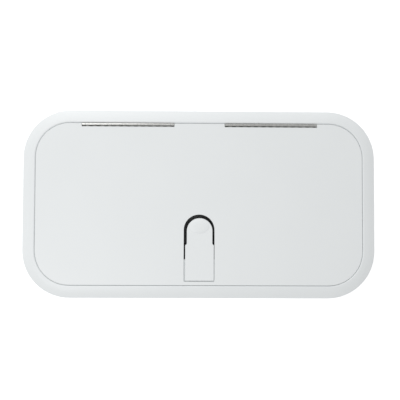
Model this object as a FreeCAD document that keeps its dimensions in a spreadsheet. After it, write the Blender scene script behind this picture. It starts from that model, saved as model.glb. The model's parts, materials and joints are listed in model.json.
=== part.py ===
import FreeCAD, Part
import math
import os
import re

import Sketcher

# Flush deck hatch: a moulded frame with a hinged lid and a slam latch worked by a finger lever.
# X runs along the hatch, Y towards the hinges, Z up; z = 0 is the deck surface, and x = y = 0 is
# the middle of the frame.  "Offset" sizes are measured inwards from the frame's outer edge.

SIZES = {
    # frame
    "overall_length": 632, "overall_width": 336.5, "outer_corner": 85,
    "rim_width": 23.2, "rim_height": 12, "rim_slope": 11, "rim_angle": 30, "crown_angle": 7,
    "crest_round": 46, "rim_wall": 3, "edge_round": 2.2, "lip_round": 2.6,
    "ledge_height": 3, "rail_offset": 33, "rail_width": 8, "rail_height": 4.5, "rail_overhang": 3,
    "coaming_offset": 35.5, "coaming_wall": 3, "coaming_depth": 30,
    "rib_wall": 2, "rib_pitch": 46, "strike_half": 20, "strike_reach": 6, "strike_underside": 1,
    "screw_offset": 27.7, "screw_hole": 2.4, "screw_head": 4.2,
    "corner_screw_x": 224, "centre_screw_x": 36, "side_screw_y": 50,
    "seal_inset": 0.6, "seal_height": 2.9, "seal_round": 2.2,
    # lid
    "lid_side_gap": 0.6, "lid_front_gap": 0.4, "lid_rear_gap": 0.6, "lid_wall": 4.5,
    "rib_height": 6, "long_rib_y": 30, "skirt_wall": 3, "skirt_bottom": 4.2, "lid_round": 0.6,
    "box_offset": 43.5, "box_front": 46.5, "box_wall": 2.6, "box_bottom": -1,
    "liner_thickness": 2.5, "boss_radius": 4.2,
    # hinges
    "hinge_x": 128, "knuckle_pitch": 6.6, "knuckle_gap": 0.3, "hinge_wall": 0.8,
    "barrel_radius": 2.25, "bore_radius": 1.05, "pin_radius": 1, "axis_inset": 2.7,
    "axis_height": 11.4, "barrel_clearance": 0.4, "foot_clearance": 0.2, "leaf_reach": 8.6,
    "leaf_recess": 0.15, "comb_depth": 1.6, "notch_reach": 4, "notch_margin": 0.4,
    "rivet_radius": 1.5, "rivet_head": 2.2, "rivet_pitch": 46.6,
    "small_screw": 1.2, "small_head": 2.5,
    # latch
    "slot_half": 27.45, "slot_top_y": -18.7, "slot_bottom_y": -138.2, "shelf_y": -98.7,
    "shelf_height": 8.7, "lever_x": 0.9, "lever_plate": 3, "lever_round": 0.8,
    "lever_narrow": 22.85, "lever_wide": 25.65, "lever_top_y": -25.2, "lever_bottom_y": -136.6,
    "lever_step_y": -72.4, "ear_inner": 18, "ear_outer": 21.5, "ear_half": 4.4,
    "pivot_y": -76, "pivot_height": -12, "pivot_pin": 2, "fit": 0.05,
    "bar_height": 4, "bar_radius": 2,
    "pad_y": -39.9, "pad_long": 17.5, "pad_short": 12.5, "pad_rise": 1.6, "pad_sink": 0.7,
    "bolt_half": 11, "bolt_top": 0.5, "bolt_bottom": -7.5, "bolt_tip_y": -127.5, "bolt_back_y": -66,
    "bolt_bevel": 5, "window_half": 4, "window_front_y": -112, "window_back_y": -85.5,
    "lug_top": 5.6, "lug_wall": 3, "lug_slot": 2.3,
    "spring_radius": 2.85, "spring_wire": 0.4, "spring_end_y": -90, "spring_pitch": 3,
    "housing_wall": 2.3, "housing_front_y": -116, "housing_back_y": -16.5, "housing_floor": -17.5,
    "gasket": 1, "flange_reach": 8, "flange_wall": 2, "guide_wall": 2, "guide_back_y": -84,
    "guide_gap": 0.4, "post_half": 3.2, "post_length": 4,
}

doc = FreeCAD.newDocument("deck_hatch")
sheet = doc.addObject("Spreadsheet::Sheet", "Sizes")
for row, (word, value) in enumerate(SIZES.items(), start=1):
    sheet.set(f"A{row}", word)
    sheet.set(f"B{row}", str(value))
    sheet.setAlias(f"B{row}", word)
doc.recompute()


# ---------------------------------------------------------------------------------- helpers

def linked(text):
    """An expression in the sheet's words, written so that FreeCAD follows it."""
    return re.sub(r"[a-z_]+", lambda m: "Sizes." + m[0] if m[0] in SIZES else m[0], str(text))


def number(text):
    """The present value of an expression."""
    return float(sheet.evalExpression(linked(text)))


def origin_item(body, role):
    return next(item for item in body.Origin.OriginFeatures if item.Role == role)


def new_body(label, several=False):
    body = doc.addObject("PartDesign::Body", label)
    body.Label = label
    body.AllowCompound = several
    return body


def new_sketch(body, name, role="XY_Plane", offset="0"):
    """A sketch on one of the body's own planes, moved along that plane's normal."""
    sketch = body.newObject("Sketcher::SketchObject", name)
    sketch.AttachmentSupport = [(origin_item(body, role), "")]
    sketch.MapMode = "FlatFace"
    sketch.setExpression("AttachmentOffset.Base.z", linked(offset))
    return sketch


def bind(sketch, constraint, expression):
    index = sketch.addConstraint(constraint)
    sketch.setExpression(f"Constraints[{index}]", linked(expression))


def pin_point(sketch, geometry, vertex, x, y):
    """Tie one point of a sketch to its two coordinates."""
    bind(sketch, Sketcher.Constraint("DistanceX", -1, 1, geometry, vertex, number(x)), x)
    bind(sketch, Sketcher.Constraint("DistanceY", -1, 1, geometry, vertex, number(y)), y)


def rounded_arc(before, corner, after, radius):
    """The arc that rounds one corner of a polygon, with the two points where it touches."""
    back = (before - corner).normalize()
    ahead = (after - corner).normalize()
    half = back.getAngle(ahead) / 2
    centre = corner + (back + ahead).normalize() * (radius / math.sin(half))
    start = corner + back * (radius / math.tan(half))
    end = corner + ahead * (radius / math.tan(half))
    ring = Part.Circle(centre, FreeCAD.Vector(0, 0, 1), radius)
    left_turn = (corner - before).cross(after - corner).z > 0
    low, high = (start, end) if left_turn else (end, start)
    return Part.ArcOfCircle(ring, ring.parameter(low), ring.parameter(high)), start, end


def outline(sketch, corners):
    """A closed outline through corners (x, y) or (x, y, radius), all given as expressions."""
    points = [FreeCAD.Vector(number(c[0]), number(c[1]), 0) for c in corners]
    count = len(points)
    starts, ends, arcs = list(points), list(points), {}
    for i, corner in enumerate(corners):
        if len(corner) == 3:
            arc, into, out = rounded_arc(points[i - 1], points[i], points[(i + 1) % count],
                                         number(corner[2]))
            arcs[i] = arc
            ends[i], starts[i] = into, out
    lines, rounds = [], {}
    for i in range(count):
        j = (i + 1) % count
        lines.append(sketch.addGeometry(Part.LineSegment(starts[i], ends[j]), False))
        if j in arcs:
            rounds[j] = sketch.addGeometry(arcs[j], False)
    for i, corner in enumerate(corners):
        into, out = lines[i - 1], lines[i]
        if i in rounds:
            join_round(sketch, into, rounds[i], out, points[i], corner)
        else:
            sketch.addConstraint(Sketcher.Constraint("Coincident", into, 2, out, 1))
            pin_point(sketch, out, 1, corner[0], corner[1])
    return len(lines) + len(rounds)


def join_round(sketch, into, arc, out, point, corner):
    """Hold a rounded corner: both lines pass through the sharp corner and touch the arc."""
    mark = sketch.addGeometry(Part.Point(point), True)
    pin_point(sketch, mark, 1, corner[0], corner[1])
    start_gap = sketch.Geometry[arc].StartPoint.distanceToPoint(sketch.Geometry[into].EndPoint)
    near, far = (1, 2) if start_gap < 1e-6 else (2, 1)
    for line in (into, out):
        sketch.addConstraint(Sketcher.Constraint("PointOnObject", mark, 1, line))
    sketch.addConstraint(Sketcher.Constraint("Tangent", into, 2, arc, near))
    sketch.addConstraint(Sketcher.Constraint("Tangent", arc, far, out, 1))
    bind(sketch, Sketcher.Constraint("Radius", arc, number(corner[2])), corner[2])


def rectangle(sketch, x_low, x_high, y_low, y_high, radius=None):
    extra = () if radius is None else (radius,)
    pairs = ((x_low, y_low), (x_high, y_low), (x_high, y_high), (x_low, y_high))
    outline(sketch, [pair + extra for pair in pairs])


def circle(sketch, x, y, radius):
    centre = FreeCAD.Vector(number(x), number(y), 0)
    ring = Part.Circle(centre, FreeCAD.Vector(0, 0, 1), number(radius))
    index = sketch.addGeometry(ring, False)
    pin_point(sketch, index, 3, x, y)
    bind(sketch, Sketcher.Constraint("Radius", index, number(radius)), radius)


def extrude(body, sketch, length, kind="Pad", centred=False, backwards=False):
    """Pad or pocket a sketch and make sure the body really changed."""
    doc.recompute()
    before = body.Shape.Volume if body.Shape and not body.Shape.isNull() else 0
    feature = body.newObject(f"PartDesign::{kind}", f"{kind}_{sketch.Name}")
    feature.Profile = sketch
    feature.setExpression("Length", linked(length))
    feature.Midplane = centred
    feature.Reversed = backwards
    sketch.Visibility = False
    doc.recompute()
    change = body.Shape.Volume - before
    if (change > 1e-6) != (kind == "Pad"):
        raise RuntimeError(f"{body.Label}: {feature.Name} changed the volume by {change:.3f}")
    return feature


def pad(body, sketch, length, centred=False):
    return extrude(body, sketch, length, "Pad", centred)


def pocket(body, sketch, depth, centred=False, upwards=False):
    return extrude(body, sketch, depth, "Pocket", centred, upwards)


def repeat(body, features, role, length, count):
    """Repeat features in a row along one of the body's own axes."""
    pattern = body.newObject("PartDesign::LinearPattern", f"Row_{features[0].Name}")
    pattern.Originals = features
    pattern.Direction = (origin_item(body, role), [""])
    pattern.setExpression("Length", linked(length))
    pattern.Occurrences = count
    body.Tip = pattern
    doc.recompute()
    return pattern


def sweep_round_frame(body, corners):
    """Carry a cross-section, drawn at the middle of the front side, once round the frame."""
    path = new_sketch(body, "Round_path")
    half_x, half_y = "overall_length / 2", "overall_width / 2"
    count = outline(path, [
        ("0", f"-{half_y}"), (half_x, f"-{half_y}", "outer_corner"),
        (half_x, half_y, "outer_corner"), (f"-{half_x}", half_y, "outer_corner"),
        (f"-{half_x}", f"-{half_y}", "outer_corner")])
    section = new_sketch(body, "Section", "YZ_Plane")
    outline(section, [(f"-{half_y} + {c[0]}",) + tuple(c[1:]) for c in corners])
    doc.recompute()
    sweep = body.newObject("PartDesign::AdditivePipe", "Sweep")
    sweep.Profile = section
    sweep.Spine = (path, [f"Edge{i + 1}" for i in range(count)])
    path.Visibility = False
    section.Visibility = False
    doc.recompute()


def spin(body, kind, sketch, x):
    """Turn a profile fully round the upright line at x in its own plane."""
    low, high = FreeCAD.Vector(number(x), 0, 0), FreeCAD.Vector(number(x), 1, 0)
    axis = sketch.addGeometry(Part.LineSegment(low, high), True)
    pin_point(sketch, axis, 1, x, "0")
    pin_point(sketch, axis, 2, x, "1")
    feature = body.newObject(f"PartDesign::{kind}", f"{kind}_{sketch.Name}")
    feature.Profile = sketch
    feature.ReferenceAxis = (sketch, ["Axis0"])
    feature.Angle = 360
    sketch.Visibility = False
    return feature


def turned_row(label, profile, placements):
    """One node of equal turned pieces: a profile (radius, height) spun at each (x, y)."""
    body = new_body(label, several=True)
    for i, (x, y) in enumerate(placements):
        sketch = new_sketch(body, f"Profile_{i}", "XZ_Plane", f"-({y})")
        outline(sketch, [(f"({x}) + {r}", z) for r, z in profile])
        doc.recompute()
        spin(body, "Revolution", sketch, x)
    doc.recompute()
    return body


# ------------------------------------------------------------------------------ frame pieces

INNER_X = "overall_length / 2 - rim_width"
INNER_Y = "overall_width / 2 - rim_width"
SCREW_X = "(overall_length / 2 - screw_offset)"
SCREW_Y = "(overall_width / 2 - screw_offset)"
AXIS_Y = "(overall_width / 2 - rim_width - axis_inset)"
CREST_Z = "(rim_height - (rim_width - rim_slope) * tan(crown_angle))"
EDGE_Z = f"({CREST_Z} - rim_slope * tan(rim_angle))"
HOLLOW = [("rim_width - rim_wall", "rim_height - rim_wall"), ("rim_slope", f"{CREST_Z} - rim_wall"),
          ("rim_wall", f"{EDGE_Z} - 1")]
FOOT_TOP = "(ledge_height + hinge_wall)"
FRAME_KNUCKLES, LID_KNUCKLES = 13, 12
HINGE_LENGTH = f"({FRAME_KNUCKLES + LID_KNUCKLES} * knuckle_pitch)"
FOOT_FRONT = "(overall_width / 2 - rail_offset + foot_clearance)"
LEAF_LOW = "(rim_height - lid_wall + leaf_recess)"
LEAF_HIGH = "(rim_height - lid_wall + leaf_recess + hinge_wall)"
BOTH = ("-1", "1")


def screw_places():
    """Every deck screw position as a pair of expressions."""
    rows = [("corner_screw_x", SCREW_Y), ("centre_screw_x", SCREW_Y), (SCREW_X, "side_screw_y")]
    return [(f"{a} * {x}", f"{b} * {y}") for x, y in rows for a in BOTH for b in BOTH]


def rivet_places():
    """The four rivets in the foot of each hinge."""
    rivet_y = f"{FOOT_FRONT} + rivet_head + 0.3"
    return [(f"{side} * hinge_x + {step} * rivet_pitch", rivet_y)
            for side in BOTH for step in ("-1.5", "-0.5", "0.5", "1.5")]


def leaf_screw_places():
    """The six screws that hold each lid leaf, in line with its own knuckles."""
    screw_y = f"{AXIS_Y} - leaf_reach + small_head + 0.3"
    return [(f"{side} * hinge_x + {step} * knuckle_pitch", screw_y)
            for side in BOTH for step in ("-11", "-7", "-3", "3", "7", "11")]


def drill(body, name, places, radius, offset, depth, upwards=False):
    """Round holes at the given places, cut from one level downwards or upwards."""
    sketch = new_sketch(body, name, "XY_Plane", offset)
    for x, y in places:
        circle(sketch, x, y, radius)
    return pocket(body, sketch, depth, upwards=upwards)


def frame_section():
    """The moulding's cross-section: crowned rim, hidden ledge, seal rail and coaming."""
    coaming_inner = "coaming_offset + coaming_wall"
    rail_inner = "rail_offset + rail_width"
    return [
        ("0", "0"), ("0", EDGE_Z, "edge_round"), ("rim_slope", CREST_Z, "crest_round"),
        ("rim_width", "rim_height", "lip_round"), ("rim_width", "ledge_height"),
        ("rail_offset", "ledge_height"), ("rail_offset", "rail_height"),
        (rail_inner, "rail_height"), (rail_inner, "rail_height - rail_overhang"),
        (coaming_inner, "rail_height - rail_overhang"), (coaming_inner, "-coaming_depth"),
        ("coaming_offset", "-coaming_depth"), ("coaming_offset", "0"),
        ("rim_width - rim_wall", "0"), *HOLLOW, ("rim_wall", "0")]


def make_frame():
    body = new_body("frame")
    sweep_round_frame(body, frame_section())
    for side in BOTH:
        add_rib_row(body, f"Long_ribs_{side}", "YZ_Plane", "overall_width / 2", side, 9, "X_Axis")
        add_rib_row(body, f"Short_ribs_{side}", "XZ_Plane", "overall_length / 2", side, 3, "Y_Axis")
    add_strike(body)
    places = screw_places()
    drill(body, "Screw_holes", places, "screw_hole", "ledge_height", "ledge_height + 1")
    add_countersinks(body, places)
    drill(body, "Rivet_holes", rivet_places(), "rivet_radius + 0.1", "ledge_height", "ledge_height + 1")
    return body


def add_rib_row(body, name, role, half_size, side, count, axis):
    """A row of stiffening ribs across the hollow under one side of the rim."""
    along = f"rib_pitch * {count - 1}"
    start = f"-({along}) / 2" if role == "YZ_Plane" else f"({along}) / 2"
    sketch = new_sketch(body, name, role, start)
    roof = [(offset, f"{height} + 0.3") for offset, height in HOLLOW]
    corners = [(roof[0][0], "0"), *roof, (roof[-1][0], "0")]
    outline(sketch, [(f"{side} * ({half_size} - ({offset}))", height) for offset, height in corners])
    rib = pad(body, sketch, "rib_wall", centred=True)
    repeat(body, [rib], axis, along, count)


def add_strike(body):
    """The lip at the middle of the front coaming that the latch bolt catches under."""
    face = "-(overall_width / 2 - coaming_offset - coaming_wall)"
    sketch = new_sketch(body, "Strike", "YZ_Plane")
    outline(sketch, [(f"{face} - 0.5", "strike_underside"),
                     (f"{face} + strike_reach", "strike_underside"),
                     (f"{face} + strike_reach", "strike_underside + 1.5"),
                     (f"{face} + strike_reach - 1.5", "rail_height"), (f"{face} - 0.5", "rail_height")])
    pad(body, sketch, "2 * strike_half", centred=True)


def add_countersinks(body, places):
    """Conical seats for the deck screws, one cone for each hole."""
    seat_depth = "(screw_head - screw_hole)"
    for i, (x, y) in enumerate(places):
        sketch = new_sketch(body, f"Seat_{i}", "XZ_Plane", f"-({y})")
        outline(sketch, [(x, f"ledge_height - {seat_depth}"),
                         (f"{x} + screw_hole", f"ledge_height - {seat_depth}"),
                         (f"{x} + screw_head", "ledge_height"), (x, "ledge_height")])
        spin(body, "Groove", sketch, x)
    doc.recompute()


def make_coaming_seal():
    body = new_body("coaming_seal")
    near = "rail_offset + seal_inset"
    far = "rail_offset + rail_width - seal_inset"
    top = "rail_height + seal_height"
    sweep_round_frame(body, [(near, "rail_height"), (near, top, "seal_round"),
                             (far, top, "seal_round"), (far, "rail_height")])
    return body


# ------------------------------------------------------------------------------------ hinges

def knuckles(body, centre, count):
    """A row of knuckles centred on the hinge, one pitch apart, with the bore for the pin."""
    ring = new_sketch(body, "Knuckle", "YZ_Plane", f"{centre} - {count - 1} * knuckle_pitch")
    circle(ring, AXIS_Y, "axis_height", "barrel_radius")
    knuckle = pad(body, ring, "knuckle_pitch - knuckle_gap", centred=True)
    repeat(body, [knuckle], "X_Axis", f"{count - 1} * 2 * knuckle_pitch", count)
    bore = new_sketch(body, "Bore", "YZ_Plane", centre)
    circle(bore, AXIS_Y, "axis_height", "bore_radius")
    pocket(body, bore, f"{HINGE_LENGTH} + 2", centred=True)


def clear_knuckles(body, centre, count, y_low, y_high, z_low):
    """Cut the leaf away like a comb where the other leaf's knuckles turn."""
    gap = new_sketch(body, "Knuckle_gap", "YZ_Plane", f"{centre} - {count - 1} * knuckle_pitch")
    rectangle(gap, y_low, y_high, z_low, "axis_height + 1")
    cut = pocket(body, gap, "knuckle_pitch + knuckle_gap", centred=True)
    repeat(body, [cut], "X_Axis", f"{count - 1} * 2 * knuckle_pitch", count)


def make_hinge_frame_leaf(name, side):
    """The fixed leaf: a foot riveted to the ledge that turns up behind the barrel."""
    body = new_body(f"{name}_hinge_frame_leaf")
    centre = f"{side} * hinge_x"
    back = f"{AXIS_Y} + barrel_radius"
    sketch = new_sketch(body, "Leaf", "YZ_Plane", centre)
    outline(sketch, [(FOOT_FRONT, "ledge_height"), (back, "ledge_height", "hinge_wall + 0.5"),
                     (back, "axis_height"), (f"{back} - hinge_wall", "axis_height"),
                     (f"{back} - hinge_wall", FOOT_TOP, "0.5"), (FOOT_FRONT, FOOT_TOP)])
    pad(body, sketch, HINGE_LENGTH, centred=True)
    clear_knuckles(body, centre, LID_KNUCKLES, AXIS_Y, f"{back} + 1",
                   "axis_height - barrel_radius - barrel_clearance")
    knuckles(body, centre, FRAME_KNUCKLES)
    drill(body, "Rivet_holes", [p for p in rivet_places() if p[0].startswith(f"{side} ")],
          "rivet_radius + 0.1", FOOT_TOP, "2")
    return body


def make_hinge_lid_leaf(name, side):
    """The moving leaf: flat under the lid, turned up in front of the barrel."""
    body = new_body(f"{name}_hinge_lid_leaf")
    centre = f"{side} * hinge_x"
    front = f"{AXIS_Y} - barrel_radius"
    sketch = new_sketch(body, "Leaf", "YZ_Plane", centre)
    outline(sketch, [(f"{AXIS_Y} - leaf_reach", LEAF_LOW),
                     (f"{front} + hinge_wall", LEAF_LOW, "hinge_wall + 0.5"),
                     (f"{front} + hinge_wall", "axis_height"), (front, "axis_height"),
                     (front, LEAF_HIGH, "0.5"), (f"{AXIS_Y} - leaf_reach", LEAF_HIGH)])
    pad(body, sketch, f"{HINGE_LENGTH} - knuckle_gap", centred=True)
    clear_knuckles(body, centre, FRAME_KNUCKLES, f"{front} - comb_depth", AXIS_Y, f"{LEAF_LOW} - 1")
    knuckles(body, centre, LID_KNUCKLES)
    places = [p for p in leaf_screw_places() if p[0].startswith(f"{side} ")]
    drill(body, "Screw_holes", places, "small_screw + 0.2", LEAF_HIGH, "2")
    return body


def make_hinge_pin(name, side):
    body = new_body(f"{name}_hinge_pin")
    sketch = new_sketch(body, "Pin", "YZ_Plane", f"{side} * hinge_x")
    circle(sketch, AXIS_Y, "axis_height", "pin_radius")
    pad(body, sketch, f"{HINGE_LENGTH} - knuckle_gap", centred=True)
    return body


def make_hinge_frame_rivets():
    """Dome-headed rivets, head on the foot and shank down into the ledge."""
    return turned_row("hinge_frame_rivets", [
        ("0", "0.4"), ("rivet_radius", "0.4"), ("rivet_radius", FOOT_TOP), ("rivet_head", FOOT_TOP),
        ("rivet_head - 0.3", f"{FOOT_TOP} + 0.6"), ("rivet_head / 2", f"{FOOT_TOP} + 0.9"),
        ("0", f"{FOOT_TOP} + 0.95")], rivet_places())


def make_hinge_lid_screws():
    """Low-headed screws, head under the lid leaf and shank up into the lid."""
    return turned_row("hinge_lid_screws", [
        ("0", "rim_height - 1"), ("small_screw", "rim_height - 1.4"), ("small_screw", LEAF_LOW),
        ("small_head", LEAF_LOW), ("small_head - 0.5", f"{LEAF_LOW} - 0.6"),
        ("0", f"{LEAF_LOW} - 0.7")], leaf_screw_places())


# --------------------------------------------------------------------------------------- lid

LID_X = f"({INNER_X} - lid_side_gap)"
LID_FRONT = f"(-({INNER_Y}) + lid_front_gap)"
LID_REAR = f"({INNER_Y} - lid_rear_gap)"
LID_CORNER = "(outer_corner - rim_width - lid_side_gap)"
LID_UNDER = "(rim_height - lid_wall)"
BOX_X = "(overall_length / 2 - box_offset)"
BOX_FRONT = "(-(overall_width / 2 - box_front))"
BOX_REAR = "(overall_width / 2 - box_offset)"
BOX_CORNER = "(outer_corner - box_offset)"
FLANGE_X = "(slot_half + housing_wall + flange_reach)"
FLANGE_TOP = f"({LID_UNDER} - gasket)"
FLANGE_UNDER = f"({LID_UNDER} - gasket - flange_wall)"
TUB_X = "(slot_half + housing_wall)"
TUB_FRONT = "(housing_front_y - housing_wall)"
TUB_BACK = "(housing_back_y + housing_wall)"


def liner_screw_places():
    """Fixing points of the liner: four along the front, five along the rear, one at each end."""
    front = [(f"{x} * {BOX_X}", f"{BOX_FRONT} + 9") for x in ("-0.78", "-0.36", "0.36", "0.78")]
    rear = [(f"{x} * {BOX_X}", f"{BOX_REAR} - 9") for x in ("-0.78", "-0.4", "0", "0.4", "0.78")]
    ends = [(f"{side} * ({BOX_X} - 9)", "0") for side in BOTH]
    return front + rear + ends


def housing_screw_places():
    """The screws in the flange of the latch housing: three down each side."""
    screw_x = f"({TUB_X} + flange_reach / 2)"
    return [(f"{side} * {screw_x}", y) for side in BOTH
            for y in (f"{TUB_FRONT} + 12", "lever_step_y", f"{TUB_BACK} - 12")]


def ring_wall(body, name, bounds, corner, wall, low, height):
    """An upright wall following a rounded rectangle given as (x, y_low, y_high)."""
    sketch = new_sketch(body, name, "XY_Plane", low)
    x, y_low, y_high = bounds
    rectangle(sketch, f"-{x}", x, y_low, y_high, corner)
    rectangle(sketch, f"-{x} + {wall}", f"{x} - {wall}", f"{y_low} + {wall}", f"{y_high} - {wall}",
              f"{corner} - {wall}")
    return pad(body, sketch, height)


def slot_outline(sketch, half, top, bottom, corner):
    """A finger slot: round at the end nearer the hinges, nearly square at the front."""
    outline(sketch, [(f"-{half}", bottom, corner), (half, bottom, corner),
                     (half, top, f"{half} - 0.01"), (f"-{half}", top, f"{half} - 0.01")])


def make_lid_shell():
    body = new_body("lid_shell")
    plate = new_sketch(body, "Plate", "XY_Plane", LID_UNDER)
    rectangle(plate, f"-{LID_X}", LID_X, LID_FRONT, LID_REAR, LID_CORNER)
    pad(body, plate, "lid_wall")
    round_top(body, "rim_height", "lid_round")
    ring_wall(body, "Skirt", (LID_X, LID_FRONT, LID_REAR), LID_CORNER, "skirt_wall", "skirt_bottom",
              f"{LID_UNDER} - skirt_bottom")
    ring_wall(body, "Box_wall", (BOX_X, BOX_FRONT, BOX_REAR), BOX_CORNER, "box_wall", "box_bottom",
              f"{LID_UNDER} - box_bottom")
    add_lid_ribs(body)
    add_bosses(body)
    cut_hinge_notches(body)
    cut_latch_slot(body)
    drill(body, "Leaf_screw_holes", leaf_screw_places(), "small_screw + 0.1",
          f"{LEAF_LOW} - 2", f"rim_height - 0.8 - {LEAF_LOW} + 2", upwards=True)
    drill(body, "Housing_screw_holes", housing_screw_places(), "small_screw + 0.1",
          f"{LID_UNDER} - 6", "lid_wall + 5", upwards=True)
    drill(body, "Liner_screw_holes", liner_screw_places(), "small_screw + 0.1", "box_bottom - 1",
          "8", upwards=True)
    return body


def round_top(body, height, radius):
    """Round every edge of the top face of a plate."""
    level = number(height)
    edges = [f"Edge{i + 1}" for i, edge in enumerate(body.Shape.Edges)
             if all(abs(v.Z - level) < 1e-6 for v in edge.Vertexes)]
    base = body.Tip
    fillet = body.newObject("PartDesign::Fillet", "Round_top")
    fillet.Base = (base, edges)
    fillet.setExpression("Radius", linked(radius))
    doc.recompute()


def add_lid_ribs(body):
    """Ribs under the plate: four across the lid and one along it behind the latch."""
    rib_low, rib_high = f"{LID_UNDER} - rib_height", f"{LID_UNDER} + 0.5"
    for i, share in enumerate(("-0.68", "-0.36", "0.36", "0.68")):
        sketch = new_sketch(body, f"Cross_rib_{i}", "YZ_Plane", f"{share} * {BOX_X}")
        rectangle(sketch, f"{BOX_FRONT} + 1", f"{BOX_REAR} - 1", rib_low, rib_high)
        pad(body, sketch, "rib_wall", centred=True)
    sketch = new_sketch(body, "Long_rib", "XZ_Plane", "-long_rib_y")
    rectangle(sketch, f"-{BOX_X} + 1", f"{BOX_X} - 1", rib_low, rib_high)
    pad(body, sketch, "rib_wall", centred=True)


def add_bosses(body):
    """Round bosses that take the liner screws."""
    sketch = new_sketch(body, "Bosses", "XY_Plane", "box_bottom")
    for x, y in liner_screw_places():
        circle(sketch, x, y, "boss_radius")
    pad(body, sketch, f"{LID_UNDER} - box_bottom + 0.5")


def cut_hinge_notches(body):
    """Notches that let the barrels through, and the recesses for the lid leaves."""
    for side in BOTH:
        centre = f"{side} * hinge_x"
        notch = new_sketch(body, f"Notch_{side}", "YZ_Plane", centre)
        rectangle(notch, f"{AXIS_Y} - notch_reach", f"{LID_REAR} + 1", "skirt_bottom - 1",
                  "rim_height + 1")
        pocket(body, notch, f"{HINGE_LENGTH} + 2 * notch_margin", centred=True)
        recess = new_sketch(body, f"Leaf_recess_{side}", "YZ_Plane", centre)
        rectangle(recess, f"{AXIS_Y} - leaf_reach - 0.2", f"{AXIS_Y} - notch_reach + 1",
                  f"{LID_UNDER} - 1", LEAF_HIGH)
        pocket(body, recess, f"{HINGE_LENGTH} + 2 * notch_margin", centred=True)


def cut_latch_slot(body):
    """The finger slot: open behind the pivot, a shallow shelf in front; and the bolt's window."""
    deep = new_sketch(body, "Slot", "XY_Plane", "rim_height + 1")
    slot_outline(deep, "slot_half", "slot_top_y", "shelf_y", "0.5")
    pocket(body, deep, "lid_wall + 2")
    shelf = new_sketch(body, "Shelf", "XY_Plane", "rim_height + 1")
    outline(shelf, [("-slot_half", "slot_bottom_y", "2"), ("slot_half", "slot_bottom_y", "2"),
                    ("slot_half", "shelf_y + 1"), ("-slot_half", "shelf_y + 1")])
    pocket(body, shelf, "rim_height + 1 - shelf_height")
    window = new_sketch(body, "Bolt_window", "XZ_Plane", f"-({BOX_FRONT}) + 1")
    rectangle(window, "-bolt_half - 1.5", "bolt_half + 1.5", "box_bottom - 1", "bolt_top + 1")
    pocket(body, window, "box_wall + 2")


def make_lid_liner():
    """The flat inner panel that closes the lid's box, cut away round the latch housing."""
    body = new_body("lid_liner")
    plate = new_sketch(body, "Plate", "XY_Plane", "box_bottom - liner_thickness")
    rectangle(plate, f"-{BOX_X}", BOX_X, BOX_FRONT, BOX_REAR, BOX_CORNER)
    pad(body, plate, "liner_thickness")
    opening = new_sketch(body, "Housing_opening", "XY_Plane", "box_bottom + 1")
    rectangle(opening, f"-{TUB_X} - 0.8", f"{TUB_X} + 0.8", f"{BOX_FRONT} - 1", f"{TUB_BACK} + 0.8")
    pocket(body, opening, "liner_thickness + 2")
    drill(body, "Screw_holes", liner_screw_places(), "small_screw + 0.3", "box_bottom + 1",
          "liner_thickness + 2")
    return body


def make_lid_liner_screws():
    head_top = "(box_bottom - liner_thickness)"
    return turned_row("lid_liner_screws", pan_screw(head_top, "box_bottom + 6"), liner_screw_places())


def pan_screw(seat, tip):
    """Profile of a pan-headed screw pointing up, its head below the seat."""
    return [("0", tip), ("small_screw", f"{tip} - 0.6"), ("small_screw", seat), ("small_head", seat),
            ("small_head", f"{seat} - 0.8"), ("small_head - 0.6", f"{seat} - 1.4"),
            ("0", f"{seat} - 1.6")]


# ------------------------------------------------------------------------------------- latch

def make_latch_housing():
    """The tub under the slot that carries the lever pivot and guides the bolt."""
    body = new_body("latch_housing")
    tub = new_sketch(body, "Tub", "XY_Plane", "housing_floor - flange_wall")
    rectangle(tub, f"-{TUB_X}", TUB_X, TUB_FRONT, TUB_BACK, "3")
    pad(body, tub, f"{FLANGE_TOP} - housing_floor + flange_wall")
    flange = new_sketch(body, "Flange", "XY_Plane", FLANGE_UNDER)
    rectangle(flange, f"-{FLANGE_X}", FLANGE_X, TUB_FRONT, f"{TUB_BACK} + flange_reach", "3")
    pad(body, flange, "flange_wall")
    hollow = new_sketch(body, "Hollow", "XY_Plane", FLANGE_TOP)
    rectangle(hollow, "-slot_half", "slot_half", "housing_front_y", "housing_back_y", "2")
    pocket(body, hollow, f"{FLANGE_TOP} - housing_floor")
    window = new_sketch(body, "Bolt_window", "XZ_Plane", f"-({TUB_FRONT}) + 1")
    rectangle(window, "-bolt_half - guide_gap", "bolt_half + guide_gap", "bolt_bottom - guide_gap",
              "bolt_top + 0.8")
    pocket(body, window, "housing_wall + 2")
    add_bolt_guides(body)
    add_pivot_bosses(body)
    drill(body, "Screw_holes", housing_screw_places(), "small_screw + 0.2", FLANGE_TOP,
          "flange_wall + 1")
    return body


def add_bolt_guides(body):
    """Side walls and rails for the bolt, and the post that its spring pushes against."""
    inner, base = "(bolt_half + guide_gap)", "housing_floor - 0.5"
    front = "housing_front_y - 0.5"
    walls = new_sketch(body, "Guides", "XY_Plane", base)
    rails = new_sketch(body, "Rails", "XY_Plane", base)
    for side in BOTH:
        low, high = sorted((f"{side} * {inner}", f"{side} * ({inner} + guide_wall)"), key=number)
        rectangle(walls, low, high, front, "guide_back_y")
        low, high = sorted((f"{side} * ({inner} - 3)", f"{side} * ({inner} + 0.5)"), key=number)
        rectangle(rails, low, high, front, "guide_back_y")
    pad(body, walls, f"bolt_top - ({base})")
    pad(body, rails, f"bolt_bottom - guide_gap - ({base})")
    post = new_sketch(body, "Spring_post", "XY_Plane", base)
    rectangle(post, "-post_half", "post_half", "spring_end_y", "spring_end_y + post_length")
    pad(body, post, f"bolt_top - 1 - ({base})")


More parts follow.
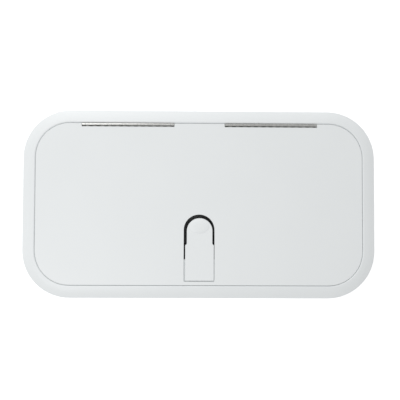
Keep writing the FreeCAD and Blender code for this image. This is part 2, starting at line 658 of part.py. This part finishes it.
def add_pivot_bosses(body):
    """Bosses inside the tub walls, bored for the lever's pivot pin."""
    thickness = "(slot_half - ear_outer - guide_gap + 0.5)"
    for side in BOTH:
        start = f"{side} * (ear_outer + guide_gap + {thickness} / 2)"
        sketch = new_sketch(body, f"Boss_{side}", "YZ_Plane", start)
        circle(sketch, "pivot_y", "pivot_height", "2 * pivot_pin + 0.5")
        pad(body, sketch, thickness, centred=True)
    bore = new_sketch(body, "Pin_bore", "YZ_Plane")
    circle(bore, "pivot_y", "pivot_height", "pivot_pin + fit")
    pocket(body, bore, f"2 * {TUB_X} + 2", centred=True)


def make_latch_housing_gasket():
    body = new_body("latch_housing_gasket")
    sketch = new_sketch(body, "Gasket", "XY_Plane", FLANGE_TOP)
    rectangle(sketch, f"-{FLANGE_X}", FLANGE_X, TUB_FRONT, f"{TUB_BACK} + flange_reach", "3")
    rectangle(sketch, "-slot_half", "slot_half", "housing_front_y", "housing_back_y", "2")
    pad(body, sketch, "gasket")
    drill(body, "Screw_holes", housing_screw_places(), "small_screw + 0.2", f"{LID_UNDER} + 1",
          "gasket + 2")
    return body


def make_latch_housing_screws():
    profile = pan_screw(FLANGE_UNDER, f"{LID_UNDER} + 3.2")
    return turned_row("latch_housing_screws", profile, housing_screw_places())


def make_latch_lever():
    """The finger lever: a flush plate with a raised thumb pad, and two ears down to the pivot."""
    body = new_body("latch_lever")
    plate = new_sketch(body, "Plate", "XY_Plane", "rim_height - lever_plate")
    step = "(lever_wide - lever_narrow)"
    half = [("lever_wide", "lever_bottom_y", "2"), ("lever_wide", f"lever_step_y - {step} / 2"),
            ("lever_narrow", f"lever_step_y + {step} / 2"),
            ("lever_narrow", "lever_top_y", "lever_narrow - 0.01")]
    right = [(f"lever_x + {c[0]}",) + c[1:] for c in half]
    left = [(f"lever_x - {c[0]}",) + c[1:] for c in reversed(half)]
    outline(plate, right + left)
    pad(body, plate, "lever_plate")
    round_top(body, "rim_height", "lever_round")
    add_thumb_pad(body)
    ear_top = "rim_height - lever_plate + 0.5"
    for side in BOTH:
        sketch = new_sketch(body, f"Ear_{side}", "YZ_Plane", f"{side} * (ear_inner + ear_outer) / 2")
        low = "pivot_height - ear_half"
        outline(sketch, [("pivot_y - 3 * ear_half", ear_top),
                         ("pivot_y - ear_half", low, "ear_half - 1"),
                         ("pivot_y + ear_half", low, "ear_half - 1"),
                         ("pivot_y + 3 * ear_half", ear_top)])
        pad(body, sketch, "ear_outer - ear_inner", centred=True)
    holes = new_sketch(body, "Pin_holes", "YZ_Plane")
    circle(holes, "pivot_y", "pivot_height", "pivot_pin + fit")
    circle(holes, "pivot_y", "bar_height", "bar_radius + fit")
    pocket(body, holes, "2 * ear_outer + 2", centred=True)
    return body


def add_thumb_pad(body):
    """A low oval swelling on the round end of the lever: the cap of a flat ellipsoid."""
    height = "(pad_sink + pad_rise)"
    spread = f"sqrt(1 - (pad_sink / {height}) ^ 2)"
    swelling = body.newObject("PartDesign::AdditiveEllipsoid", "Thumb_pad")
    swelling.AttachmentSupport = [(origin_item(body, "XY_Plane"), "")]
    swelling.MapMode = "FlatFace"
    swelling.setExpression("AttachmentOffset.Base.x", linked("lever_x"))
    swelling.setExpression("AttachmentOffset.Base.y", linked("pad_y"))
    swelling.setExpression("AttachmentOffset.Base.z", linked("rim_height - pad_sink"))
    swelling.setExpression("Radius1", linked(height))
    swelling.setExpression("Radius2", linked(f"pad_long / {spread}"))
    swelling.setExpression("Radius3", linked(f"pad_short / {spread}"))
    doc.recompute()


def make_cross_rod(label, height, radius, half_length):
    """A plain round rod across the latch, directly above or at the pivot."""
    body = new_body(label)
    sketch = new_sketch(body, "Rod", "YZ_Plane")
    circle(sketch, "pivot_y", height, radius)
    pad(body, sketch, f"2 * {half_length}", centred=True)
    return body


def make_lever_pin_clips():
    """Push-on washers that keep the pivot pin in the housing walls."""
    body = new_body("lever_pin_clips", several=True)
    for side in BOTH:
        sketch = new_sketch(body, f"Clip_{side}", "YZ_Plane", f"{side} * ({TUB_X} + 0.6)")
        circle(sketch, "pivot_y", "pivot_height", "2 * pivot_pin")
        circle(sketch, "pivot_y", "pivot_height", "pivot_pin + fit")
        pad(body, sketch, "0.8", centred=True)
    return body


def make_latch_bolt():
    """The sliding bolt: bevelled nose, spring window, and an upright fork for the cross bar."""
    body = new_body("latch_bolt")
    side_view = new_sketch(body, "Side_view", "YZ_Plane")
    outline(side_view, [("bolt_tip_y", "bolt_top"), ("bolt_tip_y", "bolt_bottom + bolt_bevel"),
                        ("bolt_tip_y + bolt_bevel", "bolt_bottom"), ("bolt_back_y", "bolt_bottom"),
                        ("bolt_back_y", "bolt_top")])
    pad(body, side_view, "2 * bolt_half", centred=True)
    fork = new_sketch(body, "Fork", "YZ_Plane")
    rectangle(fork, "pivot_y - lug_slot - lug_wall", "pivot_y + lug_slot + lug_wall",
              "bolt_top - 0.5", "lug_top")
    pad(body, fork, "2 * bolt_half", centred=True)
    slot = new_sketch(body, "Fork_slot", "YZ_Plane")
    rectangle(slot, "pivot_y - lug_slot", "pivot_y + lug_slot", "bolt_top", "lug_top + 1")
    pocket(body, slot, "2 * bolt_half + 2", centred=True)
    window = new_sketch(body, "Spring_window", "XY_Plane", "bolt_top + 1")
    rectangle(window, "-window_half", "window_half", "window_front_y", "window_back_y")
    pocket(body, window, "bolt_top - bolt_bottom + 2")
    return body


def make_bolt_spring():
    """The coil spring in the bolt's window, wound about its own upright axis and laid down."""
    body = new_body("bolt_spring")
    wire = new_sketch(body, "Wire", "XZ_Plane")
    circle(wire, "spring_radius", "0", "spring_wire")
    helix = body.newObject("PartDesign::AdditiveHelix", "Coil")
    helix.Profile = wire
    helix.ReferenceAxis = (wire, ["V_Axis"])
    helix.Mode = "pitch-height-angle"
    helix.setExpression("Pitch", linked("spring_pitch"))
    helix.setExpression("Height", linked("spring_end_y - window_front_y - 2 * spring_wire - 0.2"))
    wire.Visibility = False
    doc.recompute()
    body.Placement = FreeCAD.Placement(FreeCAD.Vector(), FreeCAD.Rotation(FreeCAD.Vector(1, 0, 0), -90))
    body.setExpression("Placement.Base.y", linked("window_front_y + spring_wire + 0.1"))
    body.setExpression("Placement.Base.z", linked("(bolt_top + bolt_bottom) / 2"))
    doc.recompute()
    return body


# -------------------------------------------------------------------------------- build, save

def make_all():
    bodies = [make_frame(), make_coaming_seal(), make_hinge_frame_rivets()]
    for name, side in (("left", "-1"), ("right", "1")):
        bodies += [make_hinge_frame_leaf(name, side), make_hinge_lid_leaf(name, side),
                   make_hinge_pin(name, side)]
    bodies += [make_hinge_lid_screws(), make_lid_shell(), make_lid_liner(), make_lid_liner_screws()]
    bodies += [make_latch_housing(), make_latch_housing_gasket(), make_latch_housing_screws()]
    bodies += [make_latch_lever(), make_latch_bolt(), make_bolt_spring(), make_lever_pin_clips()]
    bodies.append(make_cross_rod("lever_pivot_pin", "pivot_height", "pivot_pin", f"({TUB_X} + 1.8)"))
    bodies.append(make_cross_rod("lever_cross_bar", "bar_height", "bar_radius", "ear_outer"))
    return bodies


def save(bodies):
    """Check every object and write each node to its own STEP file."""
    doc.recompute()
    for item in doc.Objects:
        if "Invalid" in item.State or "Error" in item.State:
            raise RuntimeError(f"{item.Label} did not build: {item.getStatusString()}")
    os.makedirs("parts", exist_ok=True)
    for body in bodies:
        shape = body.Shape
        if shape.isNull() or not shape.isValid():
            raise RuntimeError(f"{body.Label} has no valid shape")
        shape.exportStep(f"parts/{body.Label}.step")
        box = shape.BoundBox
        print(f"{body.Label}: {len(shape.Solids)} solids, {shape.Volume:.0f} mm3, "
              f"z {box.ZMin:.1f} to {box.ZMax:.1f}")


save(make_all())
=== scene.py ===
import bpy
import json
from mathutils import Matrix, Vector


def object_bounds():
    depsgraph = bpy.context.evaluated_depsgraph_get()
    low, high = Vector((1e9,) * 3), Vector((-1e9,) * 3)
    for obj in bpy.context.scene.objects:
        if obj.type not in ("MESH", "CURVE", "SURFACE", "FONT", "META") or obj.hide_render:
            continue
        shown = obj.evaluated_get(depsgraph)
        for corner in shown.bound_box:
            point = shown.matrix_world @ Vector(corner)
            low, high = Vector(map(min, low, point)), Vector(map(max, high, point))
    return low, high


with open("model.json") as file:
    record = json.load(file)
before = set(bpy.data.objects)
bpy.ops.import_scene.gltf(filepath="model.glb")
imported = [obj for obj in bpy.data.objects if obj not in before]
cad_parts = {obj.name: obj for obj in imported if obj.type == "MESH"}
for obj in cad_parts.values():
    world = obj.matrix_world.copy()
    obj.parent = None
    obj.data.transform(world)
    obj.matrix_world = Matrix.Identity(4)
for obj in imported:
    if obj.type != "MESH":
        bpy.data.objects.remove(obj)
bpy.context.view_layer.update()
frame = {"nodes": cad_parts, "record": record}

import json
import math

import bpy
from mathutils import Matrix, Vector

# The looks of a white deck hatch, seen from almost straight above with its hinged side at the top.
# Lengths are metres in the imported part's own frame: X along the hatch, Y towards the hinges, Z up.

# Most values of a noise pattern lie between these two.
NOISE_LOW, NOISE_HIGH = 0.3, 0.7


# ------------------------------------------------------------------------- material helpers

def new_material(name):
    """An empty node material; returns the material, its node tree and its shader."""
    material = bpy.data.materials.new(name)
    material.use_nodes = True
    tree = material.node_tree
    return material, tree, tree.nodes["Principled BSDF"]


def coordinates(tree, scale=(1, 1, 1)):
    """Object coordinates in metres, optionally scaled per axis to lay a grain along one of them."""
    place = tree.nodes.new("ShaderNodeTexCoord")
    stretch = tree.nodes.new("ShaderNodeMapping")
    stretch.inputs["Scale"].default_value = scale
    tree.links.new(place.outputs["Object"], stretch.inputs["Vector"])
    return stretch.outputs["Vector"]


def noise(tree, vector, feature_size, detail=3, rough=0.5):
    """Grey noise whose features are about feature_size metres across."""
    node = tree.nodes.new("ShaderNodeTexNoise")
    node.inputs["Scale"].default_value = 1 / feature_size
    node.inputs["Detail"].default_value = detail
    node.inputs["Roughness"].default_value = rough
    tree.links.new(vector, node.inputs["Vector"])
    return node.outputs["Fac"]


def spread(tree, value, low, high):
    """Noise stretched from its usual span to the span from low to high."""
    node = tree.nodes.new("ShaderNodeMapRange")
    node.inputs["From Min"].default_value = NOISE_LOW
    node.inputs["From Max"].default_value = NOISE_HIGH
    node.inputs["To Min"].default_value = low
    node.inputs["To Max"].default_value = high
    tree.links.new(value, node.inputs["Value"])
    return node.outputs["Result"]


def two_tones(tree, value, dark, light):
    """A colour that drifts between two near tones with the noise."""
    ramp = tree.nodes.new("ShaderNodeValToRGB")
    ramp.color_ramp.elements[0].position = NOISE_LOW
    ramp.color_ramp.elements[0].color = (*dark, 1)
    ramp.color_ramp.elements[1].position = NOISE_HIGH
    ramp.color_ramp.elements[1].color = (*light, 1)
    tree.links.new(value, ramp.inputs["Fac"])
    return ramp.outputs["Color"]


def bump(tree, shader, height, depth, below=None):
    """Surface relief of the given depth in metres, stacked on any relief below it."""
    node = tree.nodes.new("ShaderNodeBump")
    node.inputs["Distance"].default_value = depth
    tree.links.new(height, node.inputs["Height"])
    if below is not None:
        tree.links.new(below, node.inputs["Normal"])
    tree.links.new(node.outputs["Normal"], shader.inputs["Normal"])
    return node.outputs["Normal"]


# -------------------------------------------------------------------------------- materials

def moulded_white(name, dark, light, roughness):
    """White moulded plastic: a fine satin texture over a barely uneven surface."""
    texture_size, texture_depth = 0.0006, 0.00001
    swell_size, swell_depth = 0.09, 0.0002
    material, tree, shader = new_material(name)
    place = coordinates(tree)
    texture = noise(tree, place, texture_size, detail=4, rough=0.6)
    swell = noise(tree, place, swell_size, detail=2)
    tree.links.new(two_tones(tree, swell, dark, light), shader.inputs["Base Color"])
    tree.links.new(spread(tree, texture, roughness - 0.05, roughness + 0.05), shader.inputs["Roughness"])
    below = bump(tree, shader, swell, swell_depth)
    bump(tree, shader, texture, texture_depth, below)
    shader.inputs["IOR"].default_value = 1.49
    return material


def pebbled_sheet(name, dark, light):
    """Extruded plastic sheet with a soft pebbled face."""
    pebbles_per_metre, pebble_depth = 420, 0.00008
    material, tree, shader = new_material(name)
    place = coordinates(tree)
    pebbles = tree.nodes.new("ShaderNodeTexVoronoi")
    pebbles.feature = "SMOOTH_F1"
    pebbles.inputs["Scale"].default_value = pebbles_per_metre
    tree.links.new(place, pebbles.inputs["Vector"])
    drift = noise(tree, place, 0.05)
    tree.links.new(two_tones(tree, drift, dark, light), shader.inputs["Base Color"])
    tree.links.new(spread(tree, drift, 0.5, 0.6), shader.inputs["Roughness"])
    bump(tree, shader, pebbles.outputs["Distance"], pebble_depth)
    return material


def brushed_steel(name, dark, light, roughness, stretch=(1, 30, 30), grain_size=0.004):
    """Stainless steel with fine brush lines along one axis and faint handling marks."""
    mark_size, line_depth = 0.006, 0.00002
    material, tree, shader = new_material(name)
    lines = noise(tree, coordinates(tree, stretch), grain_size, detail=6, rough=0.7)
    marks = noise(tree, coordinates(tree), mark_size, detail=4)
    tree.links.new(two_tones(tree, marks, dark, light), shader.inputs["Base Color"])
    tree.links.new(spread(tree, lines, roughness - 0.08, roughness + 0.12), shader.inputs["Roughness"])
    bump(tree, shader, lines, line_depth)
    shader.inputs["Metallic"].default_value = 1
    return material


def dark_moulding(name, dark, light, roughness):
    """Dark moulded plastic with a spark-eroded grain."""
    grain_size, grain_depth = 0.0008, 0.00006
    material, tree, shader = new_material(name)
    place = coordinates(tree)
    grain = noise(tree, place, grain_size, detail=4, rough=0.6)
    drift = noise(tree, place, 0.02)
    tree.links.new(two_tones(tree, drift, dark, light), shader.inputs["Base Color"])
    tree.links.new(spread(tree, grain, roughness - 0.06, roughness + 0.08), shader.inputs["Roughness"])
    bump(tree, shader, grain, grain_depth)
    return material


def seal_rubber(name, dark, light, pore_size):
    """Soft black rubber or foam: matt, with fine pores and a slightly dusty bloom."""
    bloom_size, pore_depth = 0.03, 0.00012
    material, tree, shader = new_material(name)
    place = coordinates(tree)
    pores = noise(tree, place, pore_size, detail=2)
    bloom = noise(tree, place, bloom_size, detail=4)
    tree.links.new(two_tones(tree, bloom, dark, light), shader.inputs["Base Color"])
    tree.links.new(spread(tree, bloom, 0.6, 0.8), shader.inputs["Roughness"])
    bump(tree, shader, pores, pore_depth)
    shader.inputs["Sheen Weight"].default_value = 0.15
    return material


def floor_paint():
    """Matt white that glows a little, so that the hatch's shadow stays faint."""
    material, tree, shader = new_material("studio_floor")
    shader.inputs["Base Color"].default_value = (0.92, 0.92, 0.92, 1)
    shader.inputs["Roughness"].default_value = 0.9
    shader.inputs["Emission Color"].default_value = (1, 1, 1, 1)
    shader.inputs["Emission Strength"].default_value = 0.45
    return material


def finishes():
    """One finish for each material slot in the record: its two tones, then how rough it is."""
    return {
        "white_moulding": moulded_white(
            "frame_white", (0.796, 0.822, 0.829), (0.806, 0.830, 0.837), 0.38),
        "lid_moulding": moulded_white(
            "lid_white", (0.796, 0.820, 0.826), (0.804, 0.828, 0.834), 0.42),
        "lever_moulding": moulded_white(
            "lever_white", (0.800, 0.824, 0.831), (0.808, 0.832, 0.839), 0.38),
        "liner_sheet": pebbled_sheet(
            "liner_white", (0.69, 0.705, 0.705), (0.705, 0.72, 0.72)),
        "seal_rubber": seal_rubber(
            "seal_black", (0.012, 0.012, 0.013), (0.03, 0.03, 0.031), pore_size=0.0007),
        "gasket_foam": seal_rubber(
            "gasket_black", (0.02, 0.02, 0.02), (0.04, 0.04, 0.04), pore_size=0.0004),
        "housing_plastic": dark_moulding(
            "housing_grey", (0.14, 0.143, 0.147), (0.165, 0.168, 0.172), 0.5),
        "bolt_plastic": dark_moulding(
            "bolt_grey", (0.035, 0.036, 0.038), (0.05, 0.05, 0.053), 0.38),
        "hinge_steel": brushed_steel(
            "hinge_steel", (0.5, 0.5, 0.485), (0.58, 0.58, 0.565), 0.2),
        "pin_steel": brushed_steel(
            "pin_steel", (0.5, 0.5, 0.49), (0.58, 0.58, 0.57), 0.25),
        "fastener_steel": brushed_steel(
            "fastener_steel", (0.5, 0.5, 0.5), (0.6, 0.6, 0.59), 0.28,
            stretch=(30, 30, 1), grain_size=0.003),
        "spring_steel": brushed_steel(
            "spring_steel", (0.4, 0.4, 0.4), (0.5, 0.5, 0.5), 0.3),
    }


def paint_nodes(finish):
    """Give every node of the part the finish of its slot in the record."""
    slots = {part["node"]: part["material_slot"] for part in frame["record"]["subparts"]}
    for name, node in frame["nodes"].items():
        material = finish[slots[name]]
        if not node.material_slots:
            node.data.materials.append(material)
        for place in node.material_slots:
            place.material = material


# ----------------------------------------------------------------------------------- studio

def make_floor():
    """A wide plain floor just under the part."""
    half, drop = 40.0, 0.0005
    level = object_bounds()[0].z - drop
    corners = [(x * half, y * half, level) for x, y in ((-1, -1), (1, -1), (1, 1), (-1, 1))]
    mesh = bpy.data.meshes.new("studio_floor")
    mesh.from_pydata(corners, [], [(0, 1, 2, 3)])
    mesh.materials.append(floor_paint())
    floor = bpy.data.objects.new("studio_floor", mesh)
    bpy.context.scene.collection.objects.link(floor)


def soft_light(name, place, size, power):
    """A square white soft box that faces the middle of the hatch; size in metres, power in watts."""
    lamp = bpy.data.lights.new(name, "AREA")
    lamp.shape = "SQUARE"
    lamp.size = size
    lamp.energy = power
    holder = bpy.data.objects.new(name, lamp)
    holder.location = place
    holder.rotation_euler = (-Vector(place)).to_track_quat("-Z", "Y").to_euler()
    bpy.context.scene.collection.objects.link(holder)


def light_studio():
    """A key behind the left hinge, a lower light behind it, a small fill in front, and white sky."""
    soft_light("key", (-0.65, 1.4, 1.4), size=1.2, power=9.2)
    soft_light("low_back", (-0.6, 1.9, 0.6), size=0.8, power=4.6)
    soft_light("near_fill", (-0.45, -0.45, 0.9), size=0.5, power=2.1)
    world = bpy.data.worlds.new("studio")
    world.use_nodes = True
    sky = world.node_tree.nodes["Background"]
    sky.inputs["Color"].default_value = (1, 1, 1, 1)
    sky.inputs["Strength"].default_value = 0.655
    bpy.context.scene.world = world
    bpy.context.scene.view_settings.view_transform = "Standard"


def make_camera():
    """Almost straight down, a little to the left and in front of the middle."""
    target, distance, lens = Vector((0.0015, 0.0078, 0)), 1.3, 64.9
    left, front, roll = math.radians(1.0), math.radians(2.35), math.radians(0.24)
    back = Vector((-math.sin(left), -math.sin(front), math.cos(left) * math.cos(front))).normalized()
    right = Vector((0, 1, 0)).cross(back).normalized()
    facing = Matrix((right, back.cross(right), back)).transposed() @ Matrix.Rotation(roll, 3, "Z")
    data = bpy.data.cameras.new("camera")
    data.lens = lens
    camera = bpy.data.objects.new("camera", data)
    camera.matrix_world = Matrix.Translation(target + back * distance) @ facing.to_4x4()
    bpy.context.scene.collection.objects.link(camera)
    bpy.context.scene.camera = camera


paint_nodes(finishes())
make_floor()
light_studio()
make_camera()
